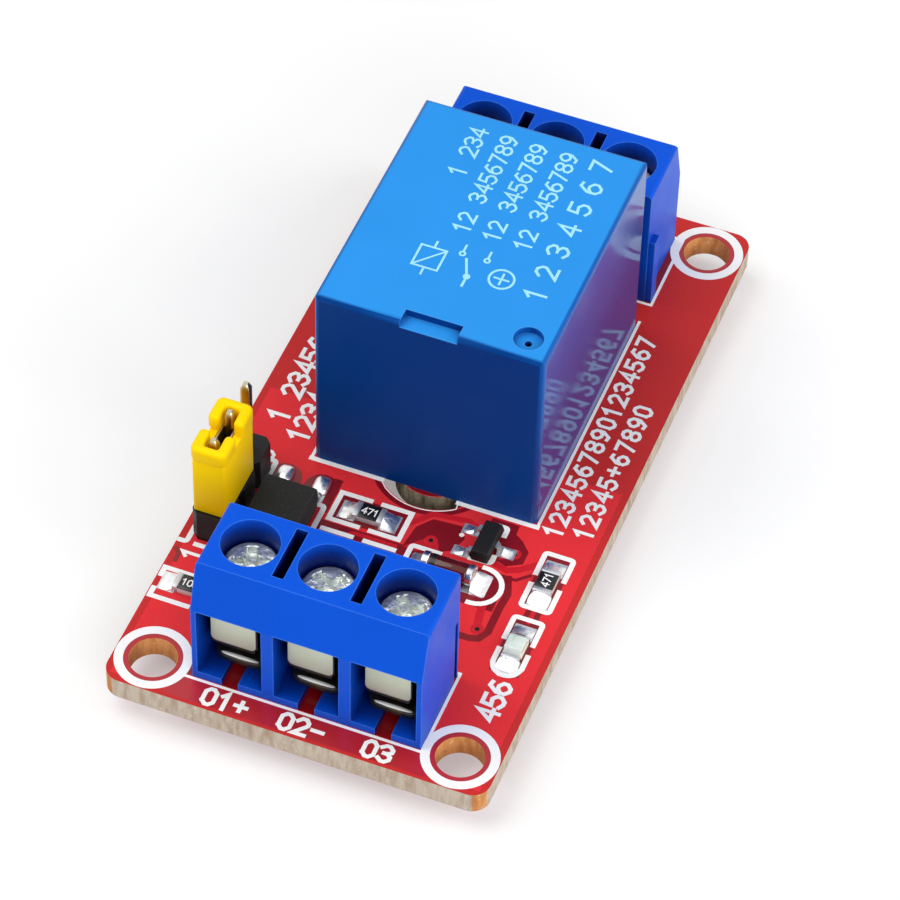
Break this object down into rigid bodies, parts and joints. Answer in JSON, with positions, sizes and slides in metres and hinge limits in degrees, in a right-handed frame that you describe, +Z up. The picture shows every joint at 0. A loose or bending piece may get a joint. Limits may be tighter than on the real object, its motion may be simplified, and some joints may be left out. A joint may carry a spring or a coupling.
{
  "type": "relay module board",
  "caption": "Narrow red circuit board with a blue cube relay, screw-terminal blocks at both ends, a pin header with a jumper and small surface parts; it switches a load from a low-power signal.",
  "frame": {"origin": "centre of the four mounting holes, on the board's underside", "axes": "+X to the right across the board, seen from the input end; +Y along the board from the input terminals to the output terminals; +Z up, out of the board's component side"},
  "size_m": [0.0254, 0.0508, 0.0184],
  "materials": {
    "board_red": "glossy",
    "terminal_blue": "satin",
    "clamp_tin": "satin",
    "guard_steel": "satin",
    "screw_zinc": "satin",
    "relay_blue": "satin",
    "relay_base_blue": "matt",
    "bobbin_white": "matt",
    "copper_wire": "glossy",
    "relay_iron": "satin",
    "spring_bronze": "satin",
    "contact_silver": "satin",
    "tinned_pin": "satin",
    "header_black": "matt",
    "pin_gold": "glossy",
    "jumper_yellow": "satin",
    "clip_tin": "satin",
    "chip_grey": "matt",
    "lead_tin": "satin",
    "resistor_black": "satin",
    "light_base": "matt",
    "light_lens": "glossy",
    "diode_glass": "glossy",
    "diode_metal": "satin",
    "solder": "glossy"
  },
  "bodies": {
    "board": {"circuit_board": "board_red", "input_terminal_housing": "terminal_blue", "input_clamp_1": "clamp_tin", "input_clamp_2": "clamp_tin", "input_clamp_3": "clamp_tin", "output_terminal_housing": "terminal_blue", "output_clamp_1": "clamp_tin", "output_clamp_2": "clamp_tin", "output_clamp_3": "clamp_tin", "relay_case": "relay_blue", "relay_base": "relay_base_blue", "relay_bobbin": "bobbin_white", "relay_winding": "copper_wire", "relay_core": "relay_iron", "relay_yoke": "relay_iron", "relay_return_spring": "spring_bronze", "relay_open_contact": "spring_bronze", "relay_closed_contact": "spring_bronze", "relay_common_pin": "tinned_pin", "relay_coil_pin_1": "tinned_pin", "relay_coil_pin_2": "tinned_pin", "header_base": "header_black", "header_pin_1": "pin_gold", "header_pin_2": "pin_gold", "header_pin_3": "pin_gold", "optocoupler_body": "chip_grey", "optocoupler_leads": "lead_tin", "transistor_body": "chip_grey", "transistor_leads": "lead_tin", "base_resistor": "resistor_black", "light_resistor": "resistor_black", "input_resistor": "resistor_black", "power_light_base": "light_base", "power_light_lens": "light_lens", "diode_glass": "diode_glass", "diode_caps": "diode_metal", "pin_solder": "solder", "pad_solder": "solder"},
    "input_guard_1": {"input_wire_guard_1": "guard_steel"},
    "input_screw_1": {"input_screw_1": "screw_zinc"},
    "input_guard_2": {"input_wire_guard_2": "guard_steel"},
    "input_screw_2": {"input_screw_2": "screw_zinc"},
    "input_guard_3": {"input_wire_guard_3": "guard_steel"},
    "input_screw_3": {"input_screw_3": "screw_zinc"},
    "output_guard_1": {"output_wire_guard_1": "guard_steel"},
    "output_screw_1": {"output_screw_1": "screw_zinc"},
    "output_guard_2": {"output_wire_guard_2": "guard_steel"},
    "output_screw_2": {"output_screw_2": "screw_zinc"},
    "output_guard_3": {"output_wire_guard_3": "guard_steel"},
    "output_screw_3": {"output_screw_3": "screw_zinc"},
    "armature": {"relay_armature": "relay_iron", "relay_contact_spring": "spring_bronze", "relay_moving_contact": "contact_silver"},
    "jumper": {"jumper_cap": "jumper_yellow", "jumper_clip": "clip_tin"}
  },
  "joints": [
    {"name": "input_guard_slide_1", "type": "slide", "parent": "board", "child": "input_guard_1", "axis": [0, 0, 1], "range_m": [-0.00112, 0.00135]},
    {"name": "input_screw_turn_1", "type": "hinge", "parent": "input_guard_1", "child": "input_screw_1", "pos_m": [-0.00488, -0.01965, 0.009], "axis": [0, 0, 1], "range_deg": [-925, 1125]},
    {"name": "input_guard_slide_2", "type": "slide", "parent": "board", "child": "input_guard_2", "axis": [0, 0, 1], "range_m": [-0.00112, 0.00135]},
    {"name": "input_screw_turn_2", "type": "hinge", "parent": "input_guard_2", "child": "input_screw_2", "pos_m": [0.0002, -0.01965, 0.009], "axis": [0, 0, 1], "range_deg": [-925, 1125]},
    {"name": "input_guard_slide_3", "type": "slide", "parent": "board", "child": "input_guard_3", "axis": [0, 0, 1], "range_m": [-0.00112, 0.00135]},
    {"name": "input_screw_turn_3", "type": "hinge", "parent": "input_guard_3", "child": "input_screw_3", "pos_m": [0.00528, -0.01965, 0.009], "axis": [0, 0, 1], "range_deg": [-925, 1125]},
    {"name": "output_guard_slide_1", "type": "slide", "parent": "board", "child": "output_guard_1", "axis": [0, 0, 1], "range_m": [-0.00112, 0.00135]},
    {"name": "output_screw_turn_1", "type": "hinge", "parent": "output_guard_1", "child": "output_screw_1", "pos_m": [0.00528, 0.01965, 0.009], "axis": [0, 0, 1], "range_deg": [-925, 1125]},
    {"name": "output_guard_slide_2", "type": "slide", "parent": "board", "child": "output_guard_2", "axis": [0, 0, 1], "range_m": [-0.00112, 0.00135]},
    {"name": "output_screw_turn_2", "type": "hinge", "parent": "output_guard_2", "child": "output_screw_2", "pos_m": [0.0002, 0.01965, 0.009], "axis": [0, 0, 1], "range_deg": [-925, 1125]},
    {"name": "output_guard_slide_3", "type": "slide", "parent": "board", "child": "output_guard_3", "axis": [0, 0, 1], "range_m": [-0.00112, 0.00135]},
    {"name": "output_screw_turn_3", "type": "hinge", "parent": "output_guard_3", "child": "output_screw_3", "pos_m": [-0.00488, 0.01965, 0.009], "axis": [0, 0, 1], "range_deg": [-925, 1125]},
    {"name": "armature_hinge", "type": "hinge", "parent": "board", "child": "armature", "pos_m": [0.00035, -0.0011, 0.01325], "axis": [1, 0, 0], "range_deg": [-2.35, 0], "stiffness_Nm_per_rad": 0.002, "springref_deg": 28.65},
    {"name": "jumper_slide", "type": "slide", "parent": "board", "child": "jumper", "axis": [0, 0, 1], "range_m": [0, 0.007]}
  ],
  "couplings": [
    {"joint": "input_screw_turn_1", "follows": "input_guard_slide_1", "rad_per_m": 13963},
    {"joint": "input_screw_turn_2", "follows": "input_guard_slide_2", "rad_per_m": 13963},
    {"joint": "input_screw_turn_3", "follows": "input_guard_slide_3", "rad_per_m": 13963},
    {"joint": "output_screw_turn_1", "follows": "output_guard_slide_1", "rad_per_m": 13963},
    {"joint": "output_screw_turn_2", "follows": "output_guard_slide_2", "rad_per_m": 13963},
    {"joint": "output_screw_turn_3", "follows": "output_guard_slide_3", "rad_per_m": 13963}
  ]
}
